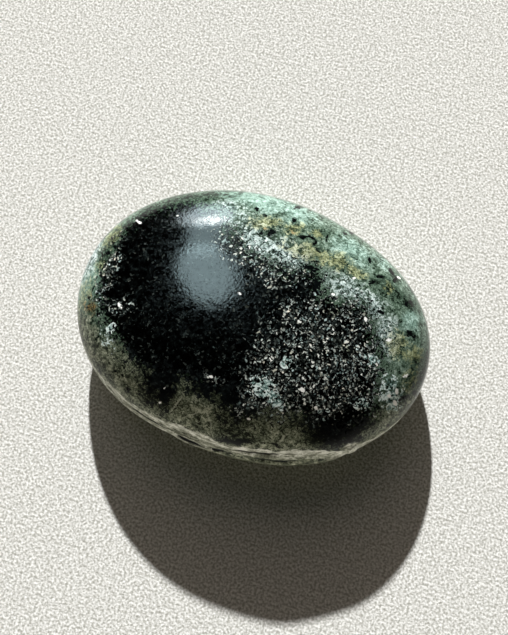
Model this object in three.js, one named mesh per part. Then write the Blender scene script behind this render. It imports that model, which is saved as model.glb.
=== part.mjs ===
// A palm stone of mottled green and black kyanite rock: one oval pebble, ground and polished by
// hand, that fills the palm. A full dome lies over a shallower belly, and the two meet at the
// girdle, the stone's widest line. It rests on a small worn flat under its middle.
// Millimetres, +Z up, the long axis along X. The origin is on the surface that the stone rests
// on, under the middle of its length and width.

import * as THREE from "three";

// Overall size
const LENGTH = 65;
const WIDTH = 48.3;
const THICKNESS = 19.2;

// Section, cut down through the middle. A fullness is a superellipse exponent: 2 is an ellipse,
// and more is squarer.
const GIRDLE_HEIGHT = 8.2;
const DOME_HEIGHT = THICKNESS - GIRDLE_HEIGHT;
const DOME_FULLNESS = 2.2;
const BELLY_FULLNESS = 2.5;
const REST_SHARE = 0.44; // width of the resting flat as a share of the stone's

// Plan, seen from above. A pebble ground by hand is never a true oval: each entry is so many low
// bulges round the girdle, the first at the plan angle `peak` in degrees, each standing out by
// `share` of the radius.
const PLAN_FULLNESS = 2.04;
const PLAN_BULGES = [
  { count: 3, peak: -9, share: 0.009 },
  { count: 4, peak: 33, share: 0.006 },
  { count: 5, peak: 15, share: 0.005 },
];

// Low flats that the grinding wheel left on the dome. Each faces the plan angle `around` and the
// angle `up` above the horizon, in degrees, and takes `depth` off the stone there. The polishing
// has rounded their edges, so each flat fades out over FLAT_SOFTNESS on both sides of its plane.
const FLAT_SOFTNESS = 0.5;
const FLATS = [
  { around: 118, up: 62, depth: 0.16 },
  { around: -58, up: 66, depth: 0.18 },
  { around: 8, up: 72, depth: 0.14 },
  { around: 184, up: 70, depth: 0.14 },
];

// The lip: along the front flank the pale layer under the girdle was left standing proud of the
// ground face above it, with a short step between the two.
const LIP_FROM = -109; // plan angles of its two ends, in degrees
const LIP_TO = -35;
const LIP_FADE = 8; // the last degrees at each end, over which it sinks into the flank
const LIP_PROUD = 0.45;
const LIP_TOP = GIRDLE_HEIGHT + 1.9; // height of its upper edge
const LIP_STEP = 0.7; // height over which the step rises
const LIP_FOOT = GIRDLE_HEIGHT - 4.5; // height where it has run out into the belly

// Fineness of the mesh
const SEGMENTS = 96; // round the stone
const DOME_RINGS = 22;
const BELLY_RINGS = 13;
const REST_RINGS = 2;

const HALF_LENGTH = LENGTH / 2;
const HALF_WIDTH = WIDTH / 2;
const QUARTER_TURN = Math.PI / 2;

// The point of a quarter superellipse of unit size at the turn `turn` from its top.
function superellipse(turn, fullness) {
  const power = 2 / fullness;
  return {
    out: Math.abs(Math.sin(turn)) ** power,
    up: Math.abs(Math.cos(turn)) ** power,
  };
}

// Half of the section as distance from the axis, 1 at the girdle, against height above the
// resting flat. It runs from the middle of the flat, up the belly and over the dome to the top.
function halfSection() {
  const restTurn = Math.asin(REST_SHARE ** (BELLY_FULLNESS / 2));
  // The belly's superellipse goes a little deeper than the flat that cuts it.
  const bellyDepth = GIRDLE_HEIGHT / superellipse(restTurn, BELLY_FULLNESS).up;
  const points = [];
  for (let ring = 0; ring < REST_RINGS; ring += 1) {
    points.push(new THREE.Vector2((REST_SHARE * ring) / REST_RINGS, 0));
  }
  for (let ring = 0; ring < BELLY_RINGS; ring += 1) {
    const turn = THREE.MathUtils.lerp(restTurn, QUARTER_TURN, ring / BELLY_RINGS);
    const belly = superellipse(turn, BELLY_FULLNESS);
    points.push(new THREE.Vector2(belly.out, GIRDLE_HEIGHT - belly.up * bellyDepth));
  }
  for (let ring = 0; ring < DOME_RINGS; ring += 1) {
    const dome = superellipse(QUARTER_TURN * (1 - ring / DOME_RINGS), DOME_FULLNESS);
    points.push(new THREE.Vector2(dome.out, GIRDLE_HEIGHT + dome.up * DOME_HEIGHT));
  }
  points.push(new THREE.Vector2(0, THICKNESS));
  return points;
}

// The girdle's distance from the axis at the plan angle `around`, in radians: a superellipse with
// the low bulges on it.
function girdleRadius(around) {
  const lengthwise = Math.abs(Math.cos(around) / HALF_LENGTH) ** PLAN_FULLNESS;
  const crosswise = Math.abs(Math.sin(around) / HALF_WIDTH) ** PLAN_FULLNESS;
  const oval = (lengthwise + crosswise) ** (-1 / PLAN_FULLNESS);
  const bulges = PLAN_BULGES.map(
    ({ count, peak, share }) => share * Math.cos(count * (around - THREE.MathUtils.degToRad(peak))),
  );
  return oval * bulges.reduce((sum, bulge) => sum + bulge, 1);
}

// A unit vector from two angles in degrees.
function direction(around, up) {
  const plan = THREE.MathUtils.degToRad(around);
  const rise = THREE.MathUtils.degToRad(up);
  return new THREE.Vector3(
    Math.cos(plan) * Math.cos(rise),
    Math.sin(plan) * Math.cos(rise),
    Math.sin(rise),
  );
}

// Grinds one flat. Its plane lies `depth` below the point that reaches furthest that way. What
// stands past the plane is pushed back to it, and the push starts gently, as a parabola, so that
// the edge is rounded.
function grind(points, flat) {
  const facing = direction(flat.around, flat.up);
  const reaches = points.map((point) => point.dot(facing));
  const plane = Math.max(...reaches) - flat.depth;
  points.forEach((point, i) => {
    const past = reaches[i] - plane;
    const onEdge = Math.max(0, past + FLAT_SOFTNESS) ** 2 / (4 * FLAT_SOFTNESS);
    point.addScaledVector(facing, -(past > FLAT_SOFTNESS ? past : onEdge));
  });
}

// How much of the lip stands at a point, 0 to 1.
function lipShare(point) {
  const around = THREE.MathUtils.radToDeg(Math.atan2(point.y, point.x));
  const ends =
    THREE.MathUtils.smoothstep(around, LIP_FROM, LIP_FROM + LIP_FADE) *
    (1 - THREE.MathUtils.smoothstep(around, LIP_TO - LIP_FADE, LIP_TO));
  const step = 1 - THREE.MathUtils.smoothstep(point.z, LIP_TOP - LIP_STEP, LIP_TOP);
  const foot = THREE.MathUtils.smoothstep(point.z, LIP_FOOT, GIRDLE_HEIGHT - 0.5);
  return ends * step * foot;
}

// Moves the lip's part of the flank straight outwards.
function raiseLip(points) {
  for (const point of points) {
    const outwards = new THREE.Vector3(point.x, point.y, 0).normalize();
    point.addScaledVector(outwards, LIP_PROUD * lipShare(point));
  }
}

// Scales the finished shape to its overall size and sets it down on the origin.
function setDown(geometry) {
  geometry.computeBoundingBox();
  const box = geometry.boundingBox;
  const size = box.getSize(new THREE.Vector3());
  const middle = box.getCenter(new THREE.Vector3());
  geometry.translate(-middle.x, -middle.y, -box.min.z);
  geometry.scale(LENGTH / size.x, WIDTH / size.y, THICKNESS / size.z);
}

// The whole stone: the section turned round the axis, stretched to the plan, then ground.
function stoneGeometry() {
  const geometry = new THREE.LatheGeometry(halfSection(), SEGMENTS);
  geometry.rotateX(QUARTER_TURN);
  const positions = geometry.getAttribute("position");
  const points = [];
  for (let i = 0; i < positions.count; i += 1) {
    const turned = new THREE.Vector3().fromBufferAttribute(positions, i);
    const girdle = girdleRadius(Math.atan2(turned.y, turned.x));
    points.push(new THREE.Vector3(turned.x * girdle, turned.y * girdle, turned.z));
  }
  FLATS.forEach((flat) => grind(points, flat));
  raiseLip(points);
  points.forEach((point, i) => positions.setXYZ(i, point.x, point.y, point.z));
  setDown(geometry);
  geometry.computeVertexNormals();
  return geometry;
}

const polishedKyanite = new THREE.MeshStandardMaterial({
  color: 0x39453d,
  roughness: 0.15,
  metalness: 0,
});

const palmStone = new THREE.Mesh(stoneGeometry(), polishedKyanite);
palmStone.name = "palm_stone";

const part = new THREE.Group();
part.add(palmStone);

export default part;
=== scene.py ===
"""A mottled green and black palm stone, polished by hand, lying on a pale table.

The stone is one piece. Its surface repeats the formulas of the solid that it replaces on a much
finer grid, and adds cracks along the pale layer, a rough lump at the layer's end and the faint
waviness that polishing leaves. The mineral patches are laid out as fields over the stone,
and the material turns those fields into grains, spots, flecks and streaks.

Shapes and markings are worked out in millimetres, +Z up and the long axis along X, with the
origin on the table under the middle of the stone. Meshes, lights and the camera are in metres.
"""

import itertools
import logging
import math
from dataclasses import dataclass
from enum import Enum
from typing import Union

import bpy
import numpy as np
from mathutils import Matrix, Vector


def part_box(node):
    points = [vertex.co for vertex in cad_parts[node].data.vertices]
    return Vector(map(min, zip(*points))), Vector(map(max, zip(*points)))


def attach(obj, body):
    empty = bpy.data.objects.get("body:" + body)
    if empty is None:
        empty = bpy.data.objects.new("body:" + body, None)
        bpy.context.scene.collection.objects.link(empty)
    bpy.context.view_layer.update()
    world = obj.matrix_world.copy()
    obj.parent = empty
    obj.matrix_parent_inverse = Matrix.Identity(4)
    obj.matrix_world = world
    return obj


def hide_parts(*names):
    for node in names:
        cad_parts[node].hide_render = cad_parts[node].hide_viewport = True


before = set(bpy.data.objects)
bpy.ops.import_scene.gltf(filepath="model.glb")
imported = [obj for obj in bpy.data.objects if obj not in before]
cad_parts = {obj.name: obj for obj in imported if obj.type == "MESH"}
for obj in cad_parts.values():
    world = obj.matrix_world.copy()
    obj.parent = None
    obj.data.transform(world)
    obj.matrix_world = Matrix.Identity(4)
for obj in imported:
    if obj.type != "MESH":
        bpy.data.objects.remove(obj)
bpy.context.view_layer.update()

MM = 0.001
NODE = "palm_stone"
log = logging.getLogger("palm_stone_looks")


def linear(hex_colour: str) -> tuple[float, float, float, float]:
    """Turns an sRGB hex colour into the linear colour that a shader takes.

    Args:
        hex_colour: Six hex digits, such as "8ea797".

    Returns:
        Linear red, green and blue, and 1 for alpha.
    """
    channels = [int(hex_colour[i : i + 2], 16) / 255 for i in (0, 2, 4)]
    low = [c / 12.92 if c <= 0.04045 else ((c + 0.055) / 1.055) ** 2.4 for c in channels]
    return (*low, 1.0)


def smoothstep(value: np.ndarray, start: float, end: float) -> np.ndarray:
    """Rises from 0 at start to 1 at end along the curve 3t² − 2t³."""
    part = np.clip((value - start) / (end - start), 0, 1)
    return part * part * (3 - 2 * part)


HASH_FACTORS = (73856093, 19349663, 83492791)
HASH_SPREAD = 0x9E3779B97F4A7C15


def lattice_values(corners: np.ndarray, seed: int) -> np.ndarray:
    """Gives each corner of a lattice its own fixed random number.

    Each whole coordinate is multiplied by its own large number and mixed in by exclusive or, and
    the high bits of the mix are scaled to lie between 0 and 1.

    Args:
        corners: Whole coordinates, the last axis being X, Y and Z.
        seed: Picks one of many such sets of numbers.

    Returns:
        Numbers from 0 to 1, one for each corner.
    """
    mixed = np.full(corners.shape[:-1], seed + 1, dtype=np.uint64)
    for axis, factor in enumerate(HASH_FACTORS):
        mixed ^= corners[..., axis].astype(np.uint64) * np.uint64(factor)
        mixed *= np.uint64(HASH_SPREAD)
        mixed ^= mixed >> np.uint64(29)
    return (mixed >> np.uint64(11)).astype(float) / 2.0**53


def lattice_noise(points: np.ndarray, width: float, seed: int, octaves: int = 1) -> np.ndarray:
    """A smooth random field over space.

    In each cube of a lattice the corners' random numbers are blended by smoothstep weights along
    the three axes. Every further octave halves the cubes and the share that it adds.

    Args:
        points: Places in millimetres, shape (..., 3).
        width: Width of the first octave's cubes, in millimetres.
        seed: Picks the random numbers.
        octaves: How many layers of noise are added.

    Returns:
        Values from −1 to 1, one for each point.
    """
    total = np.zeros(points.shape[:-1])
    share, shares = 1.0, 0.0
    for octave in range(octaves):
        place = points / width * 2**octave
        corner = np.floor(place).astype(np.int64)
        part = place - corner
        blend = part * part * (3 - 2 * part)
        for offset in itertools.product((0, 1), repeat=3):
            weight = np.prod(np.where(np.array(offset) == 1, blend, 1 - blend), axis=-1)
            total += share * weight * lattice_values(corner + np.array(offset), seed + octave)
        shares += share
        share /= 2
    return 2 * total / shares - 1


@dataclass(frozen=True)
class Bulge:
    """A set of low bulges round the girdle, `count` of them, the first at plan angle `peak`."""

    count: int
    peak: float
    share: float


@dataclass(frozen=True)
class GroundFlat:
    """A low flat left by the grinding wheel. It faces `around` and `up`, in degrees."""

    around: float
    up: float
    depth: float


@dataclass(frozen=True)
class Crack:
    """A short open crack along the pale layer, from one plan angle to another, in degrees."""

    start: float
    end: float
    height: float
    rise: float
    width: float
    depth: float


@dataclass(frozen=True)
class Patch:
    """An oval patch of one mineral, seen from above. Millimetres, and degrees for its turn."""

    x: float
    y: float
    half_length: float
    half_width: float
    turn: float = 0.0
    amount: float = 1.0

    def closeness(self, plan: np.ndarray) -> np.ndarray:
        """How near points are to the patch's middle.

        A point's offset is turned into the patch's own axes and divided by its half sizes. The
        length of that is 1 on the patch's outline.

        Args:
            plan: Places seen from above, shape (..., 2).

        Returns:
            The patch's amount in the middle, half of it on the outline and 0 at twice its size.
        """
        turn = math.radians(self.turn)
        x, y = plan[..., 0] - self.x, plan[..., 1] - self.y
        along = (x * math.cos(turn) + y * math.sin(turn)) / self.half_length
        across = (y * math.cos(turn) - x * math.sin(turn)) / self.half_width
        return self.amount * np.clip(1 - np.hypot(along, across) / 2, 0, 1)


@dataclass(frozen=True)
class Region:
    """A larger area of the stone, seen from above, inside a closed outline. Millimetres."""

    outline: tuple[tuple[float, float], ...]
    fade: float

    def depth(self, plan: np.ndarray) -> np.ndarray:
        """How far inside the outline points lie.

        The distance to each edge is that to the nearest point of its segment. A point is inside
        where a line from it towards +X crosses the outline an odd number of times.

        Args:
            plan: Places seen from above, shape (..., 2).

        Returns:
            0.5 on the outline, rising to 1 at `fade` inside it and falling to 0 at `fade` outside.
        """
        nearest = np.full(plan.shape[:-1], np.inf)
        inside = np.zeros(plan.shape[:-1], dtype=bool)
        for start, end in zip(self.outline, self.outline[1:] + self.outline[:1]):
            edge = np.subtract(end, start)
            offset = plan - start
            part = np.clip(offset @ edge / (edge @ edge), 0, 1)
            gap = offset - part[..., None] * edge
            nearest = np.minimum(nearest, np.hypot(gap[..., 0], gap[..., 1]))
            spans = (start[1] > plan[..., 1]) != (end[1] > plan[..., 1])
            rise = edge[1] if edge[1] else 1.0
            crossing = start[0] + (plan[..., 1] - start[1]) * edge[0] / rise
            inside ^= spans & (plan[..., 0] < crossing)
        signed = np.where(inside, nearest, -nearest)
        return np.clip(0.5 + signed / (2 * self.fade), 0, 1)


def closest(patches: tuple[Patch, ...], plan: np.ndarray) -> np.ndarray:
    """The largest closeness to any of the patches, for each point seen from above."""
    return np.max([patch.closeness(plan) for patch in patches], axis=0)


@dataclass(frozen=True)
class Markings:
    """Where the rock's minerals lie, seen from above. Millimetres.

    The black heart fills the middle. Round it lies green rock, palest on the far side, with
    olive rock along the front and a pale layer low on the front flank. Flecks swarm over the
    right half of the heart and along its far and left edges, their whiteness partly painted
    glint. The heart's left middle, black with only faint strays, is painted shadow over the
    black rock.
    """

    heart: Region = Region(
        (
            (-27.4, 8), (-25.4, 13.0), (-21.5, 15.2), (-17.5, 16.4), (-11, 16.0), (-8, 13.0),
            (-4.5, 10.2), (0, 9.2), (4.8, 9.4), (7, 11.4), (9.3, 10.2), (10.2, 6.8), (14.6, 6.6),
            (16.8, 7.6), (18.8, 6.8), (20.2, 4.6), (22, 1.6), (24, -2), (24.8, -8), (25, -11),
            (23.4, -15.6), (20.5, -18.0), (16.4, -17.6), (13, -14.6), (9, -14.4), (5.2, -17.8),
            (1, -18.6), (-1.5, -15.8), (-8, -15.4), (-9.2, -19.6), (-13.4, -19.6),
            (-14.6, -15.2), (-19.6, -13), (-25.2, -7.8), (-27.9, -4), (-28.4, 3),
        ),
        fade=3.6,
    )
    olive: Region = Region(
        (
            (-34, -6), (-27.5, -8), (-24, -10.5), (-18, -12.5), (0, -12.5), (14, -13),
            (20, -13.5), (24.5, -10), (28.5, -5.5), (34, -2.5), (34, -28), (-34, -28),
        ),
        fade=2.5,
    )
    # Pale, grey and dark places in the green rock, and its stains
    mint: tuple[Patch, ...] = (
        Patch(-5.5, 21.3, 5.5, 2.0, 4),
        Patch(1.5, 20.8, 3.2, 1.5, -5, 0.9),
        Patch(13.2, 16.4, 3.6, 2.0, -25, 0.8),
        Patch(27.0, 7.6, 1.8, 2.2, 0, 0.9),
        Patch(18.5, 17.0, 2.2, 1.2, -25, 0.6),
        Patch(0.8, 18.8, 1.6, 1.0, 0, 0.8),
        # At the left end the pale rock is partly painted reflection: it stands in for the lit table
        # mirrored at the rim.
        Patch(-31.0, -3.5, 2.9, 6.8, 4, 1.0),
    )
    grey: tuple[Patch, ...] = (
        Patch(-4.0, 12.6, 6.5, 3.6, -18, 0.82),
        Patch(2.5, 11.6, 4.0, 2.6, -8),
        Patch(14.5, 9.0, 4.6, 2.2, -12, 0.75),
        Patch(19.6, 7.4, 3.0, 2.2, -20, 0.75),
        Patch(23.2, 3.2, 1.9, 2.8, 20, 0.9),
        Patch(-31.9, 3.5, 1.7, 5.4, 2, 0.95),
        Patch(-10.0, 18.4, 3.0, 1.2, 10, 0.6),
    )
    deep: tuple[Patch, ...] = (
        Patch(-13.0, 20.2, 4.4, 1.6, 20),
        Patch(-19.0, 17.4, 3.2, 1.6, 35),
        Patch(7.0, 18.6, 2.2, 1.2, 10, 0.5),
        Patch(22.4, 11.6, 2.8, 2.2, -35, 1.0),
        Patch(25.5, 10.6, 2.0, 1.6, 0, 0.9),
        Patch(24.6, 6.6, 1.0, 1.4, 0, 0.7),
        Patch(29.2, 1.6, 1.4, 2.0, 0, 0.7),
        Patch(7.0, 8.0, 2.0, 1.6, 0, 0.8),
        Patch(30.6, 3.0, 1.2, 2.4, 0, 0.6),
        Patch(17.0, -17.3, 3.0, 1.4, 8, 0.8),
        Patch(22.4, -15.4, 2.0, 1.0, 10, 0.7),
        Patch(4.4, -20.1, 3.6, 0.8, 4),
        Patch(31.8, -1.0, 1.3, 4.5, 0, 0.9),
    )
    ochre: tuple[Patch, ...] = (
        Patch(-3.2, 16.2, 2.6, 1.6, 15, 0.9),
        Patch(2.2, 17.0, 1.6, 1.6, -10, 0.9),
        Patch(6.4, 17.2, 1.0, 0.9, 0),
        Patch(6.0, 13.2, 3.2, 1.5, -4),
        Patch(11.4, 13.4, 2.2, 1.5, -8),
        Patch(15.4, 12.8, 1.6, 0.9, 10, 1.0),
        Patch(21.4, 12.2, 0.9, 1.3, 0, 0.8),
        Patch(12.6, 4.8, 1.6, 1.4, 0, 0.7),
        Patch(25.2, 2.8, 1.8, 1.8, 30, 0.9),
        Patch(28.6, 2.4, 1.8, 1.6, 0, 0.8),
        Patch(29.4, -1.8, 1.4, 2.6, 0, 0.7),
        Patch(-28.4, 6.6, 1.4, 2.6, -10),
        Patch(-28.6, 1.8, 1.2, 2.0, 0, 0.9),
        Patch(-29.8, -5.4, 1.6, 3.4, 0, 0.9),
        Patch(-7.8, -18.2, 1.2, 2.6, -20, 0.8),
        Patch(16.8, -1.4, 1.6, 1.6, 0, 0.7),
    )
    rust: tuple[Patch, ...] = (
        Patch(-27.8, -6.8, 1.1, 1.7, 20, 0.9),
        Patch(2.4, 16.2, 0.9, 1.0, 0, 0.45),
        Patch(-2.8, 15.0, 1.0, 0.6, 0, 0.45),
    )
    # Blue-green crystals
    cyan: tuple[Patch, ...] = (
        Patch(5.4, -11.6, 1.5, 1.3, -20),
        Patch(7.7, -12.9, 1.2, 0.9, -20),
        Patch(27.2, -6.0, 1.9, 1.7, 10),
        Patch(26.0, -4.2, 1.0, 1.3, 10, 0.9),
        Patch(8.1, -6.6, 0.9, 0.7, 0, 0.9),
        Patch(-23.4, -10.0, 1.8, 1.3, 25, 0.44),
        Patch(-22.4, -12.2, 1.6, 1.2, -20, 0.43),
        Patch(21.8, -1.2, 1.0, 0.8, 0, 0.8),
        Patch(22.4, -8.6, 1.3, 0.9, 20, 0.6),
    )
    # Swarms of pale flecks in the heart, their whiteness partly painted glint. None lies across
    # the heart's left middle, so that it stays black as painted shadow.
    swarms: tuple[Patch, ...] = (
        Patch(-2.4, 11.2, 9.2, 5.2, -18, 0.96),
        Patch(18.0, 6.0, 6.0, 4.0, -10, 1.0),
        Patch(13.4, -3.0, 10.6, 9.5, 0, 0.95),
        Patch(6.6, -13.6, 4.6, 3.2, -15, 1.0),
        Patch(12.5, -8.5, 9.6, 5.4, 0, 1.0),
        Patch(23.4, -2.0, 3.6, 7.5, 0, 1.0),
        Patch(5.0, 3.5, 6.5, 5.0, 0, 0.46),
        Patch(-28.2, -0.5, 3.0, 8.0, 0, 1.0),
        Patch(-22.8, -5.6, 3.4, 2.2, 0, 0.7),
        Patch(2.6, -16.4, 2.4, 1.8, 0, 0.7),
        Patch(-3.0, -12.4, 3.0, 1.4, 10, 0.55),
    )
    # Thin pale veins in the olive rock
    veins: tuple[Patch, ...] = (
        Patch(-1.8, -19.2, 2.6, 0.2, -52),
        Patch(-7.6, -18.4, 2.4, 0.2, 75),
        Patch(-4.8, -19.4, 1.6, 0.16, 30),
        Patch(11.0, -18.6, 1.4, 0.16, 60),
    )
    # A lump of the pale layer that stands out at the end of the lip
    pale_lump: Patch = Patch(23.3, -16.4, 1.5, 1.0, 35)
    # Small black spots in the green rock, and two black seams in the olive rock
    spots: tuple[Patch, ...] = (
        Patch(1.5, 22.0, 0.8, 0.6, 30),
        Patch(-5.2, 18.9, 0.5, 0.4, 0),
        Patch(-4.0, 18.4, 0.4, 0.4, 0),
        Patch(1.6, 19.0, 0.4, 0.5, 0),
        Patch(2.4, 18.2, 0.5, 0.35, -30),
        Patch(11.0, 19.5, 0.6, 0.4, -20),
        Patch(12.7, 20.7, 0.5, 0.7, 0),
        Patch(8.3, 17.3, 0.35, 0.6, 0),
        Patch(4.4, 15.7, 0.9, 0.3, 35),
        Patch(5.6, 16.1, 0.7, 0.28, -35),
        Patch(6.2, 15.3, 0.3, 0.6, 0),
        Patch(7.2, 14.3, 0.8, 0.3, -20),
        Patch(-1.2, 14.9, 0.8, 0.5, 10),
        Patch(-3.1, 14.2, 0.5, 0.4, 0),
        Patch(16.6, 15.9, 0.8, 0.3, -65),
        Patch(21.0, 15.5, 0.9, 0.3, -25),
        Patch(22.4, 14.6, 0.6, 0.35, 10),
        Patch(19.5, 13.5, 0.9, 0.35, 30),
        Patch(18.4, 12.0, 0.55, 0.4, 0),
        Patch(25.9, 11.2, 0.7, 0.4, 20),
        Patch(24.8, 10.4, 0.4, 0.4, 0),
        Patch(21.4, 6.8, 1.0, 0.4, -20),
        Patch(7.2, 10.5, 1.5, 0.5, 0),
        Patch(9.2, 8.3, 0.8, 1.2, 10),
        Patch(27.5, 5.5, 1.0, 0.5, 10),
        Patch(31.0, -3.4, 0.8, 0.5, 30),
        Patch(29.6, -5.2, 1.0, 0.4, 40),
        Patch(3.6, -21.2, 3.2, 0.42, 6),
        Patch(9.6, -20.2, 2.2, 0.24, 12, 0.8),
        Patch(-27.2, 5.0, 0.6, 0.5, 0),
        Patch(-28.6, 3.6, 0.5, 0.4, 20),
    )
    # The brightest single crystals, painted white where the light glinted off them: partly
    # painted glints
    painted_glints: tuple[Patch, ...] = (
        Patch(-25.3, 10.9, 0.38, 0.24, 30),
        Patch(-24.6, 10.5, 0.42, 0.26, -15),
        Patch(-18.3, 13.4, 0.2, 0.15, 0),
        Patch(22.6, 15.1, 0.45, 0.25, 0),
        Patch(14.9, 11.4, 0.35, 0.25, 0),
        Patch(12.2, 7.2, 0.35, 0.25, 0),
        Patch(23.6, 2.8, 0.5, 0.3, 30),
        Patch(28.3, -2.0, 0.7, 0.25, 40),
        Patch(27.6, -5.0, 0.3, 0.6, 20),
        Patch(27.9, -6.9, 0.5, 0.35, -30),
        Patch(26.5, -6.2, 0.4, 0.3, 0),
        Patch(-22.6, -5.3, 0.7, 0.25, -45),
        Patch(-3.4, -12.6, 0.4, 0.25, 0),
        Patch(-10.7, -19.1, 0.25, 0.25, 0),
        Patch(-10.6, -16.6, 0.25, 0.2, 0),
        Patch(4.7, -17.4, 0.35, 0.25, 0),
        Patch(11.9, -10.1, 0.5, 0.3, -30),
        Patch(15.0, -12.2, 0.35, 0.3, 0),
        Patch(-3.1, 2.3, 0.3, 0.2, 0),
        Patch(18.8, 4.9, 0.3, 0.45, 20),
    )

    # Raggedness of the edges: a coarse and a fine wander, each of so much over so wide a lattice.
    coarse_wander: float = 0.9
    coarse_width: float = 3.2
    fine_wander: float = 0.35
    fine_width: float = 1.1

    # Below the girdle the patches lean over as they run down through the rock, so that the
    # underside isn't a copy of the upper face.
    lean_x: float = 1.3
    lean_y: float = -0.9

    # The pale layer's upper edge: plan angles in degrees, and its height there
    layer_edge: tuple[tuple[float, float], ...] = (
        (-180, 6.0), (-165, 8.6), (-150, 10.3), (-140, 11.4), (-130, 12.0), (-120, 12.4),
        (-105, 12.8), (-92, 13.0), (-88, 12.2), (-75, 12.7), (-50, 13.0), (-38, 11.2),
        (-25, 10.2), (-10, 9.0), (0, 7.4), (20, 5.0), (60, 3.5), (120, 3.5), (180, 4.5),
    )
    # Its lower edge, under which the olive rock shows again
    layer_foot: tuple[tuple[float, float], ...] = (
        (-180, 4.0), (-128, 5.0), (-112, 7.4), (-94, 8.4), (-86, 10.2), (-72, 10.8), (-52, 10.8),
        (-40, 8.8), (-25, 6.4), (0, 4.6), (60, 2.0), (120, 2.0), (180, 4.0),
    )
    layer_fade: float = 0.35
    # How far the two edges wander, and how wide the wander is
    edge_wander: float = 0.6
    edge_wander_width: float = 2.2
    foot_wander: float = 0.5
    foot_wander_width: float = 1.8
    # The painted highlight under the layer's upper edge: how far down its middle lies, and half
    # its height
    rim_drop: float = 0.4
    rim_half_height: float = 0.7

    # Spots, painted glints, veins and the lump's paleness fade out over this height below the
    # girdle.
    upper_fade: float = 2.0
    # Share of the fleck cells that hold a fleck where no swarm reaches
    stray_flecks: float = 0.14

    def plan(self, points: np.ndarray, girdle: float) -> np.ndarray:
        """Where points lie seen from above, after the wander of the edges and the lean.

        Args:
            points: Points of the surface, shape (..., 3).
            girdle: Height of the girdle, below which the patches lean.

        Returns:
            Places for the patches and regions, shape (..., 2).
        """
        wander = np.stack(
            [
                self.coarse_wander * lattice_noise(points, self.coarse_width, seed, 2)
                + self.fine_wander * lattice_noise(points, self.fine_width, seed + 7)
                for seed in (11, 12)
            ],
            axis=-1,
        )
        below = np.clip(girdle - points[..., 2], 0, None)[..., None]
        return points[..., :2] + wander + below * np.array([self.lean_x, self.lean_y])

    def fields(self, points: np.ndarray, girdle: float) -> dict[str, np.ndarray]:
        """Works out the fields that the material reads, all but the cracks'.

        Args:
            points: Points of the surface, shape (..., 3).
            girdle: Height of the girdle.

        Returns:
            One value from 0 to 1 for each point, under each field's name.
        """
        plan = self.plan(points, girdle)
        height = points[..., 2]
        upper = smoothstep(height, girdle - self.upper_fade, girdle)
        around = np.degrees(np.arctan2(points[..., 1], points[..., 0]))
        edge = np.interp(around, *zip(*self.layer_edge))
        edge = edge + self.edge_wander * lattice_noise(points, self.edge_wander_width, 41, 3)
        foot = np.interp(around, *zip(*self.layer_foot))
        foot = foot + self.foot_wander * lattice_noise(points, self.foot_wander_width, 42, 3)
        inside = np.minimum(edge - height, height - foot)
        layer = np.clip(0.5 + inside / (2 * self.layer_fade), 0, 1)
        # Painted highlight: a pale band just under the layer's upper edge, for the light the edge
        # catches.
        below_edge = np.abs(edge - self.rim_drop - height)
        rim_highlight = np.clip(1 - below_edge / self.rim_half_height, 0, 1)
        lump = self.pale_lump.closeness(points[..., :2]) * upper
        swarm = smoothstep(closest(self.swarms, plan), 0.25, 0.75)
        return {
            "heart": self.heart.depth(plan),
            "flecks": self.stray_flecks + (1 - self.stray_flecks) * swarm,
            "olive": self.olive.depth(plan),
            "mint": closest(self.mint, plan),
            "grey": closest(self.grey, plan),
            "deep": closest(self.deep, plan),
            "ochre": closest(self.ochre, plan),
            "rust": closest(self.rust, plan),
            "cyan": closest(self.cyan, plan),
            "spots": closest(self.spots, plan) * upper,
            "painted_glints": closest(self.painted_glints, points[..., :2]) * upper,
            "veins": closest(self.veins, plan) * upper,
            "pale_layer": np.maximum(layer, lump),
            "rim_highlight_and_lump": np.maximum(rim_highlight, lump),
        }


# A mineral's colours from its darkest to its palest tone, each with its place from 0 to 1.
Tones = tuple[tuple[float, str], ...]
Socket = bpy.types.NodeSocket
# What an input takes: a socket that it is linked to, or a fixed value.
Number = Union[float, Socket]
Triple = Union[tuple[float, float, float], Socket]
Colour = Union[tuple[float, float, float, float], Socket]


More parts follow.
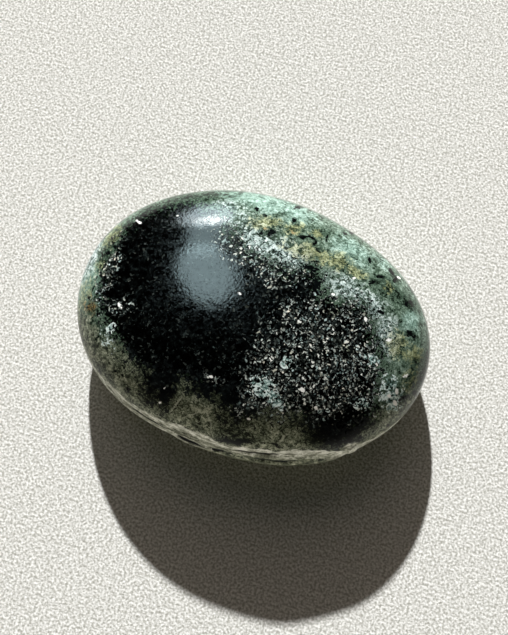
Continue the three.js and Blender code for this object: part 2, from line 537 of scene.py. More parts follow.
@dataclass(frozen=True)
class RockSheet:
    """A node tree with short ways to add what the pattern of rock or plaster is made of."""

    tree: bpy.types.NodeTree

    def add(self, kind: str, inputs: dict | None = None, **settings: object) -> bpy.types.Node:
        """Adds a node.

        Args:
            kind: The node's Blender type.
            inputs: What each input socket takes, by name or place: a value or another socket.
            **settings: Properties of the node itself.

        Returns:
            The new node.
        """
        node = self.tree.nodes.new(kind)
        for name, value in settings.items():
            setattr(node, name, value)
        for socket, value in (inputs or {}).items():
            if isinstance(value, Socket):
                self.tree.links.new(value, node.inputs[socket])
            else:
                node.inputs[socket].default_value = value
        return node

    def millimetres(self) -> Socket:
        """Object coordinates, in millimetres."""
        place = self.add("ShaderNodeTexCoord").outputs["Object"]
        return self.vector("MULTIPLY", place, (1 / MM, 1 / MM, 1 / MM))

    def field(self, name: str) -> Socket:
        """One of the stone's fields, from 0 to 1."""
        return self.add("ShaderNodeAttribute", attribute_name=name).outputs["Fac"]

    def noise(
        self, place: Socket, width: float, detail: float = 3, rough: float = 0.55, twist: float = 0
    ) -> Socket:
        """Noise whose largest features are about `width` millimetres wide."""
        node = self.add(
            "ShaderNodeTexNoise",
            {
                "Vector": place,
                "Scale": 1 / width,
                "Detail": detail,
                "Roughness": rough,
                "Distortion": twist,
            },
        )
        return node.outputs["Fac"]

    def mosaic(self, place: Socket, width: float) -> Socket:
        """Touching grains about `width` millimetres wide, each with its own number from 0 to 1."""
        cells = self.add("ShaderNodeTexVoronoi", {"Vector": place, "Scale": 1 / width})
        return self.add("ShaderNodeSeparateColor", {"Color": cells.outputs["Color"]}).outputs["Red"]

    def warp(self, place: Socket, width: float, amount: float) -> Socket:
        """Moves places about by noise, so that what is drawn with them has no straight edges."""
        noise = self.add(
            "ShaderNodeTexNoise", {"Vector": place, "Scale": 1 / width, "Detail": 1.0}
        )
        push = self.vector("SUBTRACT", noise.outputs["Color"], (0.5, 0.5, 0.5))
        return self.vector("ADD", place, self.vector("MULTIPLY", push, (2 * amount,) * 3))

    def math(self, operation: str, first: Number, second: Number = 0.0) -> Socket:
        """One arithmetic step on two numbers or sockets."""
        return self.add("ShaderNodeMath", {0: first, 1: second}, operation=operation).outputs[0]

    def times(self, first: Number, second: Number) -> Socket:
        """Multiplies two numbers."""
        return self.math("MULTIPLY", first, second)

    def vector(self, operation: str, first: Triple, second: Triple = (0.0, 0.0, 0.0)) -> Socket:
        """One step on two vectors that gives a vector."""
        node = self.add("ShaderNodeVectorMath", {0: first, 1: second}, operation=operation)
        return node.outputs["Vector"]

    def tone(self, *noises: tuple[Socket, float]) -> Socket:
        """Adds noises, each times its weight, and moves the sum so that it is 0.5 on average."""
        total = 0.5 - 0.5 * sum(weight for _, weight in noises)
        for noise, weight in noises:
            total = self.add(
                "ShaderNodeMath", {0: noise, 1: weight, 2: total}, operation="MULTIPLY_ADD"
            ).outputs[0]
        return total

    def band(self, value: Socket, start: float, end: float) -> Socket:
        """Rises smoothly from 0 where the value is start to 1 where it is end."""
        node = self.add(
            "ShaderNodeMapRange",
            {"Value": value, "From Min": start, "From Max": end},
            interpolation_type="SMOOTHSTEP",
        )
        return node.outputs["Result"]

    def mask(self, name: str, noise: Socket, edge: float, ragged: float) -> Socket:
        """A field turned into a mask with a ragged edge.

        Args:
            name: The field, 0.5 on the outline of what it marks.
            noise: Noise that the outline wanders with.
            edge: Half the field's range over which the mask rises.
            ragged: How far the noise pushes the outline.

        Returns:
            0 outside and 1 inside.
        """
        field = self.field(name)
        push = self.times(self.math("SUBTRACT", noise, 0.5), ragged)
        # Far outside the outline nothing is pushed, so that no crumbs are strewn there.
        push = self.times(push, self.band(field, 0.0, 0.35))
        return self.band(self.math("ADD", field, push), 0.5 - edge, 0.5 + edge)

    def ramp(self, value: Socket, tones: Tones) -> Socket:
        """A mineral's colour for a tone."""
        node = self.add("ShaderNodeValToRGB", {"Fac": value})
        stops = node.color_ramp.elements
        while len(stops) < len(tones):
            stops.new(0.5)
        for stop, (position, colour) in zip(stops, tones):
            stop.position = position
            stop.color = linear(colour)
        return node.outputs["Color"]

    def mix(self, share: Socket, first: Colour, second: Colour) -> Socket:
        """Blends from the first colour to the second."""
        node = self.add("ShaderNodeMix", {"Factor": share, 6: first, 7: second}, data_type="RGBA")
        return node.outputs[2]

    def mix_number(self, share: Socket, first: float, second: float) -> Socket:
        """Blends from the first number to the second."""
        return self.math("ADD", self.times(share, second - first), first)


@dataclass(frozen=True)
class FleckLayer:
    """A layer of rice-shaped flecks. Millimetres."""

    cell: float
    half_width: float
    brightness: float


@dataclass(frozen=True)
class PolishedKyanite:
    """Kyanite rock, ground and polished: black and green grains with pale ones between them.

    The polish gives the eye a clear, sharp reflection that breaks up a little from grain to
    grain, over a black that swallows the light. The olive rock and the pale layer in front are
    softer and took less of a shine.
    """

    # The heart's black is the rock's own, made as deep as the painted shadow across its left middle.
    black: Tones = ((0.56, "000000"), (0.76, "060909"), (0.92, "131817"), (1.0, "252c2b"))
    green: Tones = (
        (0.1, "0e150f"), (0.28, "334437"), (0.46, "4f6253"), (0.62, "65796a"), (0.88, "90a496"),
    )
    mint: Tones = ((0.15, "4d675b"), (0.42, "749083"), (0.62, "8aa69a"), (0.88, "b4cec4"))
    grey: Tones = (
        (0.2, "080b0b"), (0.34, "374441"), (0.48, "788b86"), (0.62, "a0b2ae"), (0.85, "d8e5e3"),
    )
    ochre: Tones = (
        (0.15, "10120a"), (0.3, "3c3f24"), (0.46, "6c6d43"), (0.62, "8b8c5a"), (0.85, "b5b888"),
    )
    rust: Tones = ((0.15, "19140c"), (0.38, "524427"), (0.6, "7e6a41"), (0.85, "a39470"))
    olive: Tones = (
        (0.14, "0a0c08"), (0.3, "2d3326"), (0.48, "596150"), (0.62, "79806c"), (0.9, "b6bca8"),
    )
    layer: Tones = ((0.2, "1f2118"), (0.38, "5c6052"), (0.56, "9a9f90"), (0.84, "e6eae1"))
    cyan: Tones = ((0.26, "070c0c"), (0.42, "37504c"), (0.58, "7f9f99"), (0.8, "dcebe8"))
    # Flecks, from faint to white: pale specks whose whiteness is partly painted glint.
    fleck_and_glint: Tones = (
        (0.0, "141817"), (0.25, "343a38"), (0.5, "757d7a"), (0.75, "b9c0bb"), (1.0, "f6f8f4"),
    )
    # Tints of single flecks, from bluish over neutral to cream
    fleck_tints: Tones = ((0.1, "cfe3e5"), (0.35, "f4f8f6"), (0.8, "fffdf8"), (1.0, "f8f0e2"))
    # Small black spots, and the painted shade in the cracks
    black_and_crack_shade: str = "060909"
    # The white of the painted glints
    painted_glint: str = "f6f8f4"
    vein: str = "b6bca8"
    ochre_share: float = 0.58
    vein_share: float = 0.7
    # How far the dark places drop the green rock's tone, and the painted rim highlight lifts the
    # pale layer's
    deep_drop: float = 0.24
    rim_highlight_lift: float = 0.2
    # Kyanite's own index is about 1.72. This lower one gives the weaker shine of the real stone.
    ior: float = 1.4
    polish_roughness: float = 0.06
    dull_roughness: float = 0.17
    olive_roughness: float = 0.32
    layer_roughness: float = 0.4
    # Sizes of the rock's texture in millimetres. The real specks and the ripple are finer, and
    # are drawn as coarse as they need to be to show.
    cloud_mm: float = 2.1
    mottle_mm: float = 0.9
    crystal_mm: float = 0.75
    grain_mm: float = 0.38
    wave_mm: float = 0.9
    ripple_mm: float = 0.34
    speck_mm: float = 0.3
    # Streaks of the pale layer: places are stretched by this, so that noise one millimetre wide
    # comes out two millimetres long and a third of a millimetre high.
    streak_stretch: tuple[float, float, float] = (0.5, 0.5, 3.0)
    # Height of the fine bump, and the shares of it that the ripple and the pits have
    bump_mm: float = 0.02
    ripple_share: float = 0.65
    pit_share: float = 0.3
    # How much the flecks gather in clumps, how much their brightness differs, and how far the
    # black between them is lifted where they swarm
    fleck_clumping: float = 2.2
    fleck_contrast: float = 1.3
    swarm_lift: float = 0.03
    # Share by which places are drawn together along a fleck, which makes a round fleck long
    fleck_squeeze: float = 0.6
    # Share of the ochre stain that a fleck takes on
    fleck_stain: float = 0.3
    fleck_layers: tuple[FleckLayer, ...] = (
        FleckLayer(cell=0.64, half_width=0.17, brightness=1.0),
        FleckLayer(cell=0.46, half_width=0.14, brightness=0.85),
    )

    def material(self) -> bpy.types.Material:
        """Builds the material.

        Returns:
            A new material that reads Object coordinates and the stone's fields.
        """
        material = bpy.data.materials.new("polished kyanite")
        material.use_nodes = True
        tree = material.node_tree
        tree.nodes.clear()
        sheet = RockSheet(tree)
        flat_place = sheet.millimetres()
        place = sheet.warp(flat_place, width=0.6, amount=0.45)
        cloud = sheet.noise(place, self.cloud_mm, detail=4, twist=0.6)
        mottle = sheet.noise(place, self.mottle_mm, detail=5, rough=0.62, twist=0.5)
        crystal = sheet.mosaic(place, self.crystal_mm)
        grain = sheet.mosaic(place, self.grain_mm)
        speck = sheet.noise(place, self.speck_mm, detail=2)
        tone = sheet.tone(
            (cloud, 0.8), (mottle, 1.0), (crystal, 0.3), (grain, 0.36), (speck, 1.1)
        )

        patchy = sheet.tone((cloud, 1.0), (crystal, 0.3), (grain, 0.3))
        olive = sheet.mask("olive", patchy, edge=0.35, ragged=0.9)
        crisp = sheet.tone((crystal, 0.35), (grain, 0.6), (speck, 1.0))
        rock = self.rock(sheet, tone, crisp, patchy, olive)
        heart = self.heart(sheet, place, tone, cloud, grain)
        # The heart's edge breaks up into crystals and grains.
        crumble = sheet.tone((mottle, 0.8), (crystal, 0.32), (grain, 0.42))
        depth = sheet.math("SUBTRACT", sheet.field("heart"), 0.5)
        in_heart = sheet.band(sheet.math("ADD", crumble, depth), 0.47, 0.53)
        colour = sheet.mix(in_heart, rock, heart)
        cyan = sheet.mask("cyan", crumble, edge=0.1, ragged=1.8)
        colour = sheet.mix(cyan, colour, sheet.ramp(crisp, self.cyan))

        spot = sheet.mask("spots", sheet.tone((mottle, 0.8), (grain, 0.5)), edge=0.06, ragged=0.8)
        colour = sheet.mix(spot, colour, linear(self.black_and_crack_shade))
        # Painted glints: the brightest crystals are painted white where the light glinted off them.
        painted_glint = sheet.mask("painted_glints", mottle, edge=0.08, ragged=0.8)
        colour = sheet.mix(painted_glint, colour, linear(self.painted_glint))
        layer = sheet.mask("pale_layer", mottle, edge=0.1, ragged=0.8)
        colour = sheet.mix(layer, colour, self.pale_rock(sheet, flat_place, cloud, grain))
        # Painted shade: the open cracks are painted dark, as shade in their grooves.
        crack = sheet.band(sheet.field("cracks"), 0.25, 0.7)
        colour = sheet.mix(crack, colour, linear(self.black_and_crack_shade))

        # Some grains took less polish than others.
        dull = sheet.band(sheet.tone((grain, 0.8), (crystal, 0.3), (mottle, 0.8)), 0.4, 0.85)
        roughness = sheet.mix_number(dull, self.polish_roughness, self.dull_roughness)
        for share, rough in ((olive, self.olive_roughness), (layer, self.layer_roughness)):
            extra = sheet.times(share, rough - self.polish_roughness)
            roughness = sheet.math("ADD", roughness, extra)
        wave = sheet.noise(flat_place, self.wave_mm, detail=2)
        ripple = sheet.noise(flat_place, self.ripple_mm, detail=1)
        height = sheet.math("ADD", wave, sheet.times(ripple, self.ripple_share))
        # Soft grains came out as tiny pits.
        pits = sheet.band(speck, 0.39, 0.29)
        height = sheet.math("SUBTRACT", height, sheet.times(pits, self.pit_share))
        bump = sheet.add(
            "ShaderNodeBump", {"Height": height, "Strength": 1.0, "Distance": self.bump_mm * MM}
        )
        shader = sheet.add(
            "ShaderNodeBsdfPrincipled",
            {
                "Base Color": colour,
                "Roughness": roughness,
                "IOR": self.ior,
                "Normal": bump.outputs["Normal"],
            },
        )
        sheet.add("ShaderNodeOutputMaterial", {"Surface": shader.outputs["BSDF"]})
        return material

    def rock(
        self, sheet: RockSheet, tone: Socket, crisp: Socket, patchy: Socket, olive: Socket
    ) -> Socket:
        """The rock round the heart.

        Green rock has pale, grey and dark places and stains of ochre and rust. Olive rock lies
        in front, with thin veins.

        Args:
            sheet: The node sheet.
            tone: Pattern of all sizes, 0.5 on average.
            crisp: Pattern of separate grains, 0.5 on average.
            patchy: Coarser pattern that frays the patches' edges, 0.5 on average.
            olive: 1 where the rock is olive.

        Returns:
            The colour socket.
        """
        mint = sheet.mask("mint", patchy, edge=0.35, ragged=0.8)
        deep = sheet.mask("deep", patchy, edge=0.35, ragged=0.8)
        grey = sheet.mask("grey", patchy, edge=0.3, ragged=0.8)
        local = sheet.math("SUBTRACT", tone, sheet.times(deep, self.deep_drop))
        colour = sheet.mix(mint, sheet.ramp(local, self.green), sheet.ramp(local, self.mint))
        colour = sheet.mix(grey, colour, sheet.ramp(crisp, self.grey))
        ochre = sheet.times(sheet.mask("ochre", patchy, edge=0.2, ragged=1.6), self.ochre_share)
        colour = sheet.mix(ochre, colour, sheet.ramp(local, self.ochre))
        rust = sheet.mask("rust", patchy, edge=0.25, ragged=1.2)
        colour = sheet.mix(rust, colour, sheet.ramp(local, self.rust))
        colour = sheet.mix(olive, colour, sheet.ramp(local, self.olive))
        vein = sheet.mask("veins", patchy, edge=0.3, ragged=0.5)
        return sheet.mix(sheet.times(vein, self.vein_share), colour, linear(self.vein))

    def heart(
        self, sheet: RockSheet, place: Socket, tone: Socket, cloud: Socket, grain: Socket
    ) -> Socket:
        """The black heart with its flecks, palest where they swarm and stained near the ochre.

        The flecks' whiteness is partly painted glint, and the black with faint strays across the
        heart's left middle is painted shadow.

        Args:
            sheet: The node sheet.
            place: Place on the stone in millimetres.
            tone: Pattern of all sizes, 0.5 on average.
            cloud: Noise about two millimetres wide.
            grain: Each grain's own number.

        Returns:
            The colour socket.
        """
        clumps = sheet.times(sheet.math("SUBTRACT", cloud, 0.5), self.fleck_clumping)
        share = sheet.times(sheet.field("flecks"), sheet.math("ADD", clumps, 1.0))
        lifted = sheet.math("ADD", tone, sheet.times(share, self.swarm_lift))
        colour = sheet.ramp(lifted, self.black)
        ochre = sheet.mask("ochre", sheet.tone((cloud, 1.0), (grain, 0.5)), edge=0.25, ragged=1.0)
        stain = sheet.times(ochre, self.fleck_stain)
        for layer in reversed(self.fleck_layers):
            shape, own_light, own_tint = self.fleck_shapes(sheet, place, layer, share)
            light = sheet.math("POWER", own_light, self.fleck_contrast)
            light = sheet.times(light, layer.brightness)
            # Strays outside the swarms are faint. Across the heart's left middle, where no swarm
            # lies, this is painted shadow.
            light = sheet.times(light, sheet.band(share, -0.15, 0.65))
            tint = sheet.ramp(own_tint, self.fleck_tints)
            fleck_and_glint = sheet.vector("MULTIPLY", sheet.ramp(light, self.fleck_and_glint), tint)
            fleck_and_glint = sheet.mix(stain, fleck_and_glint, sheet.ramp(light, self.ochre))
            colour = sheet.mix(shape, colour, fleck_and_glint)
        return colour

    def fleck_shapes(
        self, sheet: RockSheet, place: Socket, layer: FleckLayer, share: Socket
    ) -> tuple[Socket, Socket, Socket]:
        """One layer of flecks, each lying its own way.

        Each Voronoi cell holds at most one fleck. The place is measured from the cell's point,
        and the part of it that lies along the fleck's own direction is shortened, so that a
        round fleck becomes a long one.

        Args:
            sheet: The node sheet.
            place: Place on the stone in millimetres.
            layer: Sizes of the layer.
            share: Share of the cells that hold a fleck.

        Returns:
            A socket that is 1 on a fleck, and the fleck's own light and tint from 0 to 1.
        """
        cells = sheet.add("ShaderNodeTexVoronoi", {"Vector": place, "Scale": 1 / layer.cell})
        own = cells.outputs["Color"]
        # The cell's random colour, shuffled, gives the fleck's direction.
        shuffled = sheet.vector("FRACTION", sheet.vector("MULTIPLY", own, (13.7, 17.3, 19.1)))
        facing = sheet.vector("NORMALIZE", sheet.vector("SUBTRACT", shuffled, (0.5, 0.5, 0.5)))
        offset = sheet.vector("SUBTRACT", place, cells.outputs["Position"])
        along = sheet.add("ShaderNodeVectorMath", {0: offset, 1: facing}, operation="DOT_PRODUCT")
        shortened = sheet.times(along.outputs["Value"], self.fleck_squeeze)
        part = sheet.add(
            "ShaderNodeVectorMath", {0: facing, "Scale": shortened}, operation="SCALE"
        )
        squeezed = sheet.vector("SUBTRACT", offset, part.outputs["Vector"])
        gap = sheet.add("ShaderNodeVectorMath", {0: squeezed}, operation="LENGTH").outputs["Value"]
        channels = sheet.add("ShaderNodeSeparateColor", {"Color": own})
        present = sheet.math("LESS_THAN", channels.outputs["Red"], share)
        shape = sheet.band(gap, layer.half_width * 1.25, layer.half_width * 0.75)
        return sheet.times(shape, present), channels.outputs["Green"], channels.outputs["Blue"]

    def pale_rock(
        self, sheet: RockSheet, place: Socket, cloud: Socket, grain: Socket
    ) -> Socket:
        """The pale layer: grey-green, with fine streaks along the layer and a painted highlight
        along its top edge that lifts the lump as well.

        Args:
            sheet: The node sheet.
            place: Place on the stone in millimetres.
            cloud: Noise about two millimetres wide.
            grain: Each grain's own number.

        Returns:
            The colour socket.
        """
        stretched = sheet.vector("MULTIPLY", place, self.streak_stretch)
        streak = sheet.noise(stretched, 1.0, detail=5, rough=0.65)
        tone = sheet.tone((streak, 1.3), (cloud, 0.8), (grain, 0.2))
        # Painted highlight: the band under the layer's top edge, and the lump, are painted paler.
        rim_highlight = sheet.times(sheet.field("rim_highlight_and_lump"), self.rim_highlight_lift)
        return sheet.ramp(sheet.math("ADD", tone, rim_highlight), self.layer)


@dataclass
class PalmStone:
    """The stone: an oval pebble with a dome over a shallower belly. Millimetres and degrees.

    The length, width and thickness come from the solid that this surface replaces.
    """

    length: float
    width: float
    thickness: float
    markings: Markings
    finish: PolishedKyanite

    girdle_height: float = 8.2
    dome_fullness: float = 2.2
    belly_fullness: float = 2.5
    rest_share: float = 0.44
    plan_fullness: float = 2.04
    bulges: tuple[Bulge, ...] = (Bulge(3, -9, 0.009), Bulge(4, 33, 0.006), Bulge(5, 15, 0.005))
    flat_softness: float = 0.5
    flats: tuple[GroundFlat, ...] = (
        GroundFlat(118, 62, 0.16),
        GroundFlat(-58, 66, 0.18),
        GroundFlat(8, 72, 0.14),
        GroundFlat(184, 70, 0.14),
    )

    # The lip: along the front flank the pale layer stands proud of the ground face above it.
    lip_from: float = -109
    lip_to: float = -35
    lip_fade: float = 8
    lip_proud: float = 0.45
    lip_above_girdle: float = 1.9
    lip_step: float = 0.7
    lip_foot: float = 4.5

    # What only this finer surface has
    cracks: tuple[Crack, ...] = (
        Crack(-108, -89, 9.8, -0.7, 0.4, 0.34),
        Crack(-91, -84, 9.6, 0.4, 0.36, 0.26),
        Crack(-82, -59, 11.3, 0.9, 0.3, 0.3),
        Crack(-74, -52, 9.9, 0.2, 0.24, 0.16),
        Crack(-128, -108, 10.8, -0.3, 0.26, 0.18),
    )
    # How far the cracks' lines wander, and how wide the wander is
    crack_wobble: float = 0.22
    crack_wobble_width: float = 1.6
    # The lump's middle and size, and the rubble on its top
    lump: tuple[float, float, float] = (23.3, -16.6, 10.2)
    lump_radius: float = 1.6
    lump_height: float = 0.4
    lump_roughness: float = 0.9
    lump_grain: float = 0.7
    # The waviness all over
    wave: float = 0.012
    wave_width: float = 7.0

    # Fineness of the mesh
    segments: int = 560
    rings: int = 168
    # Rings crowd within about this height of the lip's step, and how much closer they lie there
    crowd_height: float = 2.2
    crowding: float = 1.6

    def section(self) -> tuple[np.ndarray, np.ndarray]:
        """Half of the section, cut down through the middle.

        The resting flat is a straight line. The belly and the dome are quarter superellipses:
        at the turn t from the top, out is sin(t) and up is cos(t), each to the power of 2 over
        the fullness. Rings are spaced evenly along the curve, but closer along the lip.

        Returns:
            Distance from the axis, 1 at the girdle, and height, from the bottom to the top.
        """
        fine = 1500
        rest_turn = math.asin(self.rest_share ** (self.belly_fullness / 2))
        flat_out = np.linspace(0, self.rest_share, fine)
        belly = np.linspace(rest_turn, math.pi / 2, fine)
        dome = np.linspace(math.pi / 2, 0, fine)
        belly_depth = self.girdle_height / math.cos(rest_turn) ** (2 / self.belly_fullness)
        dome_height = self.thickness - self.girdle_height
        belly_up = np.clip(np.cos(belly), 0, 1) ** (2 / self.belly_fullness)
        dome_up = np.clip(np.cos(dome), 0, 1) ** (2 / self.dome_fullness)
        out = np.concatenate(
            [
                flat_out,
                np.sin(belly) ** (2 / self.belly_fullness),
                np.sin(dome) ** (2 / self.dome_fullness),
            ]
        )
        up = np.concatenate(
            [
                np.zeros(fine),
                self.girdle_height - belly_up * belly_depth,
                self.girdle_height + dome_up * dome_height,
            ]
        )
        radius = (self.length + self.width) / 4
        steps = np.hypot(np.diff(out) * radius, np.diff(up))
        lip_height = self.girdle_height + self.lip_above_girdle
        near_lip = np.exp(-(((up[1:] - lip_height) / self.crowd_height) ** 2)) * (out[1:] > 0.7)
        travelled = np.concatenate([[0], np.cumsum(steps * (1 + self.crowding * near_lip))])
        places = np.linspace(0, travelled[-1], self.rings + 1)
        return np.interp(places, travelled, out), np.interp(places, travelled, up)

    def girdle_radius(self, around: np.ndarray) -> np.ndarray:
        """The girdle's distance from the axis at each plan angle, in radians.

        A superellipse, times 1 plus a cosine wave for each set of bulges.
        """
        lengthwise = np.abs(np.cos(around) / (self.length / 2)) ** self.plan_fullness
        crosswise = np.abs(np.sin(around) / (self.width / 2)) ** self.plan_fullness
        swell = sum(b.share * np.cos(b.count * (around - math.radians(b.peak))) for b in self.bulges)
        return (lengthwise + crosswise) ** (-1 / self.plan_fullness) * (1 + swell)

    def grind(self, points: np.ndarray, flat: GroundFlat) -> np.ndarray:
        """Pushes back what stands past a flat's plane, with a parabola along its edge.

        Args:
            points: Points of the surface.
            flat: The flat.

        Returns:
            The ground points.
        """
        around, up = math.radians(flat.around), math.radians(flat.up)
        facing = np.array(
            [math.cos(around) * math.cos(up), math.sin(around) * math.cos(up), math.sin(up)]
        )
        reach = points @ facing
        past = reach - (reach.max() - flat.depth)
        soft = self.flat_softness
        on_edge = np.clip(past + soft, 0, None) ** 2 / (4 * soft)
        return points - np.where(past > soft, past, on_edge)[..., None] * facing

    def raise_lip(self, points: np.ndarray) -> np.ndarray:
        """Moves the lip's part of the flank straight outwards.

        Its share is a smoothstep at both ends, along its step at the top and at its foot.
        """
        around = np.degrees(np.arctan2(points[..., 1], points[..., 0]))
        top = self.girdle_height + self.lip_above_girdle
        share = smoothstep(around, self.lip_from, self.lip_from + self.lip_fade)
        share = share * (1 - smoothstep(around, self.lip_to - self.lip_fade, self.lip_to))
        share = share * (1 - smoothstep(points[..., 2], top - self.lip_step, top))
        foot = self.girdle_height - self.lip_foot
        share = share * smoothstep(points[..., 2], foot, self.girdle_height - 0.5)
        outwards = points * np.array([1, 1, 0])
        outwards = outwards / np.maximum(np.linalg.norm(outwards, axis=-1, keepdims=True), 1e-9)
        return points + self.lip_proud * share[..., None] * outwards

    def fit_box(self, points: np.ndarray) -> np.ndarray:
        """Centres the points, sets them down at height 0 and scales them to the overall size."""
        low = points.reshape(-1, 3).min(axis=0)
        high = points.reshape(-1, 3).max(axis=0)
        middle = np.array([(low[0] + high[0]) / 2, (low[1] + high[1]) / 2, low[2]])
        return (points - middle) * np.array([self.length, self.width, self.thickness]) / (high - low)

    def surface(self) -> np.ndarray:
        """The stone's surface as a grid of points.

        The section is turned round the axis and stretched to the plan, then the flats are ground
        and the lip is raised.

        Returns:
            Points with shape (rings + 1, segments, 3). The first and last rings are the poles.
        """
        out, up = self.section()
        around = np.linspace(-math.pi, math.pi, self.segments, endpoint=False)
        girdle = self.girdle_radius(around)
        points = np.stack(
            [
                out[:, None] * girdle * np.cos(around),
                out[:, None] * girdle * np.sin(around),
                np.broadcast_to(up[:, None], (len(up), self.segments)),
            ],
            axis=-1,
        )
        for flat in self.flats:
            points = self.grind(points, flat)
        return self.fit_box(self.raise_lip(points))

    def openness(self, points: np.ndarray, crack: Crack) -> np.ndarray:
        """How far a crack is open at each point.

        A crack is a bell-shaped groove about a line that rises from one plan angle to another
        and wanders with noise. It closes towards both ends by a smoothstep.

        Args:
            points: Points of the surface.
            crack: The crack.

        Returns:
            0 away from the crack and 1 on its line.
        """
        around = np.degrees(np.arctan2(points[..., 1], points[..., 0]))
        along = (around - crack.start) / (crack.end - crack.start)
        wobble = self.crack_wobble * lattice_noise(points, self.crack_wobble_width, 22, 2)
        line = crack.height + crack.rise * along + wobble
        ends = smoothstep(along, 0, 0.2) * (1 - smoothstep(along, 0.75, 1))
        return ends * np.exp(-(((points[..., 2] - line) / crack.width) ** 2))

    def relief(self, points: np.ndarray) -> np.ndarray:
        """How far the fine relief goes into the stone at each point.

        It adds up the cracks and the faint waviness that polishing leaves everywhere, and takes
        off the lump, a low dome with a rough, noisy top.

        Args:
            points: Points of the surface.

        Returns:
            Depth in millimetres, less than 0 only on the lump.
        """
        depth = self.wave * (1 + lattice_noise(points, self.wave_width, 21, 2))
        for crack in self.cracks:
            depth = depth + crack.depth * self.openness(points, crack)
        gap = np.linalg.norm(points - np.array(self.lump), axis=-1) / self.lump_radius
        rubble = 1 + self.lump_roughness * lattice_noise(points, self.lump_grain, 23, 2)
        depth = depth - self.lump_height * (1 - smoothstep(gap, 0.4, 1)) * rubble
        # The resting flat stays plane.
        return depth * np.clip(points[..., 2] / 2, 0, 1)

    def carve(self, points: np.ndarray) -> np.ndarray:
        """Moves the points inwards, against their normals, by the relief.

        A normal is the cross product of the grid's two directions, each the difference between
        a point's neighbours.
        """
        along = np.roll(points, -1, axis=1) - np.roll(points, 1, axis=1)
        upwards = np.gradient(points, axis=0)
        normal = np.cross(along, upwards)
        length = np.linalg.norm(normal, axis=-1, keepdims=True)
        normal = np.divide(normal, length, out=np.zeros_like(normal), where=length > 1e-9)
        return points - normal * self.relief(points)[..., None]

    def mesh(self) -> bpy.types.Mesh:
        """Makes the closed mesh, in metres, with its fields.

        The two poles are one vertex each, joined to their rings by triangles, and the rest of
        the grid is quads that close round the stone.

        Returns:
            The mesh, smooth shaded.
        """
        grid = self.carve(self.surface())
        middle = grid[1:-1].reshape(-1, 3)
        points = np.concatenate([middle, grid[:1, 0], grid[-1:, 0]])
        rows, columns = len(grid) - 2, self.segments
        index = np.arange(rows * columns).reshape(rows, columns)
        right = np.roll(index, -1, axis=1)
        quads = np.stack([index[:-1], right[:-1], right[1:], index[1:]], axis=-1).reshape(-1, 4)
        bottom, top = len(middle), len(middle) + 1
        base = np.stack([right[0], index[0], np.full(columns, bottom)], axis=-1)
        cap = np.stack([index[-1], right[-1], np.full(columns, top)], axis=-1)
        mesh = bpy.data.meshes.new(NODE)
        mesh.from_pydata(points * MM, [], quads.tolist() + base.tolist() + cap.tolist())
        mesh.shade_smooth()
        fields = self.markings.fields(points, self.girdle_height)
        # How open the cracks are, which the material paints dark as shade
        fields["cracks"] = np.max([self.openness(points, crack) for crack in self.cracks], axis=0)
        for name, values in fields.items():
            attribute = mesh.attributes.new(name, "FLOAT", "POINT")
            attribute.data.foreach_set("value", values.astype(np.float32))
        return mesh

    def build(self) -> bpy.types.Object:
        """Makes the stone, dresses it and ties it to the frame.

        Returns:
            The stone's object.
        """
        stone = bpy.data.objects.new("polished_stone", self.mesh())
        bpy.context.scene.collection.objects.link(stone)
        stone.data.materials.append(self.finish.material())
        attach(stone, "root")
        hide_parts(NODE)
        return stone


@dataclass(frozen=True)
class MattePlaster:
    """Fine matte plaster, pale and warm: a fine tooth that only shows in slanting light."""

    colour: str = "fdfdf9"
    shade: str = "a9a89f"
    roughness: float = 0.85
    # The real tooth is finer. It is drawn as coarse as it needs to be to show.
    speckle_mm: float = 0.45
    tooth_mm: float = 0.4
    tooth_depth_mm: float = 0.1
    tooth_strength: float = 0.8

    def material(self) -> bpy.types.Material:
        """Builds the material.

        Returns:
            A new material that reads Object coordinates.
        """
        material = bpy.data.materials.new("matte plaster")
        material.use_nodes = True
        material.node_tree.nodes.clear()
        sheet = RockSheet(material.node_tree)
        place = sheet.millimetres()
        speckle = sheet.noise(place, self.speckle_mm, detail=2, rough=0.6)
        tooth = sheet.noise(place, self.tooth_mm, detail=2, rough=0.6)
        colour = sheet.mix(sheet.band(speckle, 0.3, 0.7), linear(self.shade), linear(self.colour))
        depth = self.tooth_depth_mm * MM
        bump = sheet.add(
            "ShaderNodeBump",
            {"Height": tooth, "Strength": self.tooth_strength, "Distance": depth},
        )
        shader = sheet.add(
            "ShaderNodeBsdfPrincipled",
            {"Base Color": colour, "Roughness": self.roughness, "Normal": bump.outputs["Normal"]},
        )
        sheet.add("ShaderNodeOutputMaterial", {"Surface": shader.outputs["BSDF"]})
        return material


@dataclass
class Table:
    """The plain pale floor that the stone lies on. Metres."""

    size: float = 3.0
    # It lies a hair lower than the stone's flat, so that the two faces don't coincide.
    drop: float = 0.02 * MM
    finish: MattePlaster = MattePlaster()

    def build(self) -> bpy.types.Object:
        """Makes the floor.

        Returns:
            The floor's object.
        """
        half = self.size / 2
        corners = [(-half, -half), (half, -half), (half, half), (-half, half)]
        mesh = bpy.data.meshes.new("table_top")
        mesh.from_pydata([(x, y, -self.drop) for x, y in corners], [], [(0, 1, 2, 3)])
        floor = bpy.data.objects.new("table_top", mesh)
        bpy.context.scene.collection.objects.link(floor)
        mesh.materials.append(self.finish.material())
        return floor


def direction(azimuth: float, elevation: float) -> Vector:
    """The unit vector towards a compass azimuth, from +Y towards +X, and an elevation."""
    turn, rise = math.radians(azimuth), math.radians(elevation)
    return Vector(
        (math.sin(turn) * math.cos(rise), math.cos(turn) * math.cos(rise), math.sin(rise))
    )


class Seen(Enum):
    """What a studio light shows up in: the reflections in the polish, or all else."""

    POLISH_ONLY = "polish only"
    NO_POLISH = "no polish"


class Face(Enum):
    """The outline of a studio light's face."""

    BOX = "RECTANGLE"
    OVAL = "ELLIPSE"


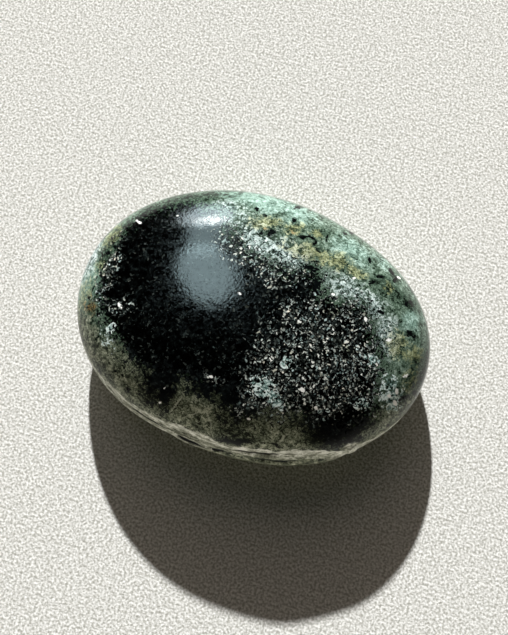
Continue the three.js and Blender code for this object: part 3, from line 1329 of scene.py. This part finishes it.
@dataclass(frozen=True)
class SoftBox:
    """A soft studio light that faces the stone. Degrees and metres."""

    name: str
    azimuth: float
    elevation: float
    distance: float
    width: float
    height: float
    brightness: float
    colour: tuple[float, float, float]
    seen: Seen
    turn: float = 0.0
    face: Face = Face.BOX

    def build(self) -> bpy.types.Object:
        """Makes the light.

        Its power is π times its box area times the brightness that its face shows.

        Returns:
            The light's object.
        """
        lamp = bpy.data.lights.new(self.name, "AREA")
        lamp.shape = self.face.value
        lamp.size, lamp.size_y = self.width, self.height
        lamp.energy = math.pi * self.width * self.height * self.brightness
        lamp.color = self.colour
        light = bpy.data.objects.new(self.name, lamp)
        towards = direction(self.azimuth, self.elevation)
        facing = towards.to_track_quat("Z", "Y").to_matrix().to_4x4()
        spin = Matrix.Rotation(math.radians(self.turn), 4, "Z")
        light.matrix_world = Matrix.Translation(towards * self.distance) @ facing @ spin
        light.visible_camera = False
        light.visible_diffuse = self.seen is Seen.NO_POLISH
        light.visible_glossy = self.seen is Seen.POLISH_ONLY
        bpy.context.scene.collection.objects.link(light)
        return light


@dataclass
class Studio:
    """Plain studio light: a slanting key, two soft fills and the boxes that the polish mirrors.

    Two pale blue boxes, one above the other, make a tall soft reflection. A small bright box
    with an oval haze round it makes the highlight at its top.
    """

    key_azimuth: float = -21.2
    key_elevation: float = 24.8
    key_strength: float = 7.5
    key_softness: float = 1.3
    ambient: float = 0.008
    shade_colour: tuple[float, float, float] = (1.0, 0.82, 0.62)
    # Boxes that overlap as the stone sees them stand at slightly different distances.
    boxes: tuple[SoftBox, ...] = (
        SoftBox(
            "window_low", -39.5, 61.5, 1.0, 0.28, 0.46, 6.9, (0.70, 0.95, 1.0),
            Seen.POLISH_ONLY, -11.9, Face.OVAL,
        ),
        SoftBox(
            "window_high", -28.0, 34.0, 1.02, 0.17, 0.8, 6.6, (0.70, 0.95, 1.0),
            Seen.POLISH_ONLY, -11.9,
        ),
        SoftBox(
            "highlight_box", -26.2, 26.5, 1.0, 0.06, 0.13, 36, (1.0, 0.98, 0.95),
            Seen.POLISH_ONLY, 25.0,
        ),
        SoftBox(
            "haze_oval", -26.5, 25.0, 0.98, 0.22, 0.36, 7.0, (0.8, 0.95, 1.0),
            Seen.POLISH_ONLY, 0.0, Face.OVAL,
        ),
        SoftBox("front_fill", 168.0, 1.5, 2.0, 2.33, 0.1, 34, (1.0, 0.9, 0.78), Seen.NO_POLISH),
        SoftBox("sky_fill", -22.0, 34.0, 1.0, 1.3, 0.8, 0.68, (1.0, 0.82, 0.67), Seen.NO_POLISH),
    )

    def build(self) -> None:
        """Makes the lights and the ambient light."""
        lamp = bpy.data.lights.new("key", "SUN")
        lamp.energy = self.key_strength
        lamp.angle = math.radians(self.key_softness)
        key = bpy.data.objects.new("key", lamp)
        key.visible_glossy = False
        key.rotation_mode = "QUATERNION"
        towards = direction(self.key_azimuth, self.key_elevation)
        key.rotation_quaternion = towards.to_track_quat("Z", "Y")
        bpy.context.scene.collection.objects.link(key)
        for box in self.boxes:
            box.build()
        world = bpy.data.worlds.new("room")
        world.use_nodes = True
        background = world.node_tree.nodes["Background"]
        background.inputs["Color"].default_value = (*self.shade_colour, 1)
        background.inputs["Strength"].default_value = self.ambient
        bpy.context.scene.world = world
        bpy.context.scene.view_settings.view_transform = "Standard"


@dataclass
class StillCamera:
    """The camera, nearly overhead, with the stone's long axis turned in the picture.

    Degrees and metres. The lens is for a 36 mm frame along the picture's longer side.
    """

    azimuth: float = 17.4
    elevation: float = 78.0
    distance: float = 0.168
    aim: tuple[float, float, float] = (-0.71 * MM, 2.92 * MM, 0.0)
    lens: float = 49.58
    frame_width: float = 36.0

    def build(self) -> bpy.types.Object:
        """Makes the camera and hands it to the scene.

        Returns:
            The camera's object.
        """
        data = bpy.data.cameras.new("still_camera")
        data.lens = self.lens
        data.sensor_width = self.frame_width
        data.clip_start = 0.01
        camera = bpy.data.objects.new("still_camera", data)
        turn, rise = math.radians(self.azimuth), math.radians(self.elevation)
        back = Vector(
            (math.sin(turn) * math.cos(rise), -math.cos(turn) * math.cos(rise), math.sin(rise))
        )
        camera.matrix_world = (
            Matrix.Translation(Vector(self.aim) + back * self.distance)
            @ back.to_track_quat("Z", "Y").to_matrix().to_4x4()
        )
        bpy.context.scene.collection.objects.link(camera)
        bpy.context.scene.camera = camera
        return camera


def main() -> None:
    """Builds the camera, the studio, the table and the stone, and notes their sizes."""
    logging.basicConfig(level=logging.INFO, format="%(name)s: %(message)s")
    StillCamera().build()
    Studio().build()
    table = Table().build()
    log.info("%s: %.1f m wide", table.name, table.dimensions.x)
    low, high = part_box(NODE)
    length, width, thickness = (high - low) / MM
    stone = PalmStone(length, width, thickness, Markings(), PolishedKyanite()).build()
    triangles = sum(len(face.vertices) - 2 for face in stone.data.polygons)
    size = [round(side / MM, 2) for side in stone.dimensions]
    log.info("%s: %d triangles, %s mm", stone.name, triangles, size)


if __name__ == "__main__":
    main()
